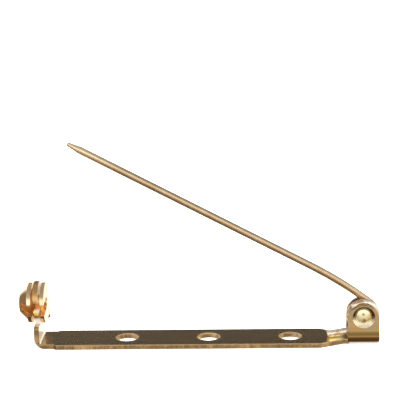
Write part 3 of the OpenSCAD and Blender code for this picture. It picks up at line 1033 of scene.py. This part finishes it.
class BROOCHPIN_OT_stage(bpy.types.Operator):
    """Sets the floor, the soft lights, the studio surround and the camera"""
    bl_idname = "broochpin.stage"
    bl_label = "Stage"

    def execute(self, context):
        stage = context.scene.broochpin_stage
        self.add_camera(context, stage)
        self.add_floor(stage)
        self.add_lights(stage)
        self.add_surround(context)
        context.scene.view_settings.view_transform = "Standard"
        return {"FINISHED"}

    def add_camera(self, context, stage):
        elevation, yaw, roll = stage.elevation, stage.yaw, stage.roll
        flat = math.cos(elevation)
        ahead = Vector((math.sin(yaw) * flat, math.cos(yaw) * flat, -math.sin(elevation)))
        level = ahead.cross(Vector((0, 0, 1))).normalized()
        upward = level.cross(ahead)
        right = level * math.cos(roll) + upward * math.sin(roll)
        up = upward * math.cos(roll) - level * math.sin(roll)
        data = bpy.data.cameras.new("Camera")
        camera = link(bpy.data.objects.new("Camera", data))
        centre = Vector((0, 0, SHEET_T * MM)) - right * stage.aim_left + up * stage.aim_up
        centre -= ahead * stage.distance
        camera.matrix_world = Matrix.Translation(centre) @ Matrix((right, up, -ahead)).transposed().to_4x4()
        data.sensor_width = SENSOR_MM
        data.lens = stage.scale_px * stage.distance / MM * SENSOR_MM / FRAME_PX
        data.clip_start = 0.005
        data.clip_end = 20.0
        context.scene.camera = camera

    def add_floor(self, stage):
        bm = bmesh.new()
        bmesh.ops.create_grid(bm, x_segments=1, y_segments=1, size=stage.floor_size / 2.0)
        floor = mesh_object("floor", bm)
        material = bpy.data.materials.new("Pale floor")
        material.use_nodes = True
        shader = material.node_tree.nodes["Principled BSDF"]
        shader.inputs["Base Color"].default_value = stage.floor_color
        shader.inputs["Roughness"].default_value = 0.8
        shader.inputs["Specular IOR Level"].default_value = 0.1
        shader.inputs["Emission Color"].default_value = (1.0, 1.0, 1.0, 1.0)
        shader.inputs["Emission Strength"].default_value = 0.4
        floor.data.materials.append(material)
        floor.visible_glossy = False

    def add_lights(self, stage):
        for name, place, size, share in (
            ("Top light", (0.0, -0.02, 0.5), 0.5, 1.0),
            ("Front left light", (-0.35, -0.4, 0.35), 0.35, 0.45),
            ("Front right light", (0.35, -0.4, 0.35), 0.35, 0.35),
        ):
            data = bpy.data.lights.new(name, "AREA")
            data.shape = "SQUARE"
            data.size = size
            data.energy = stage.light_power * share
            light = link(bpy.data.objects.new(name, data))
            turn = Vector(place).to_track_quat("Z", "Y").to_matrix().to_4x4()
            light.matrix_world = Matrix.Translation(place) @ turn
            light.visible_glossy = False

    def add_surround(self, context):
        """Studio surround: bright tent above, a dark flag low behind the bar, brown floor tones in front."""
        world = bpy.data.worlds.new("Studio surround")
        context.scene.world = world
        world.use_nodes = True
        tree = world.node_tree
        tree.nodes.clear()
        b = NodeBench(tree)
        x, y, z = b.split(b.add("ShaderNodeTexCoord").outputs["Generated"])
        height = b.ramp(z, -1.0, 1.0)
        height.node.interpolation_type = "LINEAR"
        behind = self.tones_by_height(b, height, BEHIND_TONES)
        front = self.tones_by_height(b, height, FRONT_TONES)
        flag_ends = b.times(b.ramp(b.math("ABSOLUTE", x), *FLAG_SIDES), b.ramp(z, *FLAG_LOW_EDGE))
        tent = b.mix(flag_ends, behind, OPEN_TONE)
        tent = b.tint(tent, b.ramp(x, *FLAG_LEFT, 1.0, 0.0), OPEN_TONE, share=0.026)
        seen = b.mix(b.ramp(y, *FRONT_TO_BEHIND), front, tent)
        for side, level in LEFT_CORNERS:
            corner = b.times(b.ramp(x, *side, 1.0, 0.0), b.ramp(z, *level, 1.0, 0.0))
            seen = b.mix(corner, seen, LEFT_TONE)
        path = b.add("ShaderNodeLightPath")
        glossy = b.add("ShaderNodeBackground")
        b.join(seen, glossy.inputs["Color"])
        plain = b.add("ShaderNodeBackground")
        plain.inputs["Color"].default_value = (1.0, 1.0, 1.0, 1.0)
        plain.inputs["Strength"].default_value = 1.5
        choose = b.add("ShaderNodeMixShader")
        b.join(path.outputs["Is Glossy Ray"], choose.inputs[0])
        b.join(plain.outputs[0], choose.inputs[1])
        b.join(glossy.outputs[0], choose.inputs[2])
        out = b.add("ShaderNodeOutputWorld")
        b.join(choose.outputs[0], out.inputs["Surface"])

    def tones_by_height(self, bench, height, tones):
        node = bench.add("ShaderNodeValToRGB")
        bench.join(height, node.inputs[0])
        ramp = node.color_ramp
        while len(ramp.elements) > 1:
            ramp.elements.remove(ramp.elements[-1])
        for i, (elevation, color) in enumerate(tones):
            position = (math.sin(math.radians(elevation)) + 1.0) / 2.0
            element = ramp.elements[0] if i == 0 else ramp.elements.new(position)
            element.position = position
            element.color = (*color, 1.0)
        return node.outputs["Color"]


# Panel and registration

class BROOCHPIN_PT_panel(bpy.types.Panel):
    bl_idname = "BROOCHPIN_PT_panel"
    bl_label = "Brooch pin finding"
    bl_space_type = "VIEW_3D"
    bl_region_type = "UI"
    bl_category = "Brooch Pin"

    def draw(self, context):
        for operator in OPERATORS:
            self.layout.operator(operator.bl_idname)
        for name, settings in SETTINGS.items():
            box = self.layout.box()
            for label in settings.__annotations__:
                box.prop(getattr(context.scene, name), label)


OPERATORS = (BROOCHPIN_OT_plate, BROOCHPIN_OT_rivet, BROOCHPIN_OT_wire, BROOCHPIN_OT_catch,
             BROOCHPIN_OT_stage)
SETTINGS = {
    "broochpin_plate": PlateSettings,
    "broochpin_wire": WireSettings,
    "broochpin_catch": CatchSettings,
    "broochpin_rivet": RivetSettings,
    "broochpin_stage": StageSettings,
}


def register():
    for group in SETTINGS.values():
        bpy.utils.register_class(group)
    for name, group in SETTINGS.items():
        setattr(bpy.types.Scene, name, bpy.props.PointerProperty(type=group))
    for operator in OPERATORS:
        bpy.utils.register_class(operator)
    bpy.utils.register_class(BROOCHPIN_PT_panel)


def unregister():
    bpy.utils.unregister_class(BROOCHPIN_PT_panel)
    for operator in reversed(OPERATORS):
        bpy.utils.unregister_class(operator)
    for name, group in SETTINGS.items():
        delattr(bpy.types.Scene, name)
        bpy.utils.unregister_class(group)


def main():
    register()
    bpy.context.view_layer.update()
    build_shared_groups()
    bpy.ops.broochpin.plate()
    bpy.ops.broochpin.rivet()
    bpy.ops.broochpin.wire()
    bpy.ops.broochpin.catch()
    bpy.ops.broochpin.stage()
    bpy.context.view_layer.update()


if __name__ == "__main__":
    main()
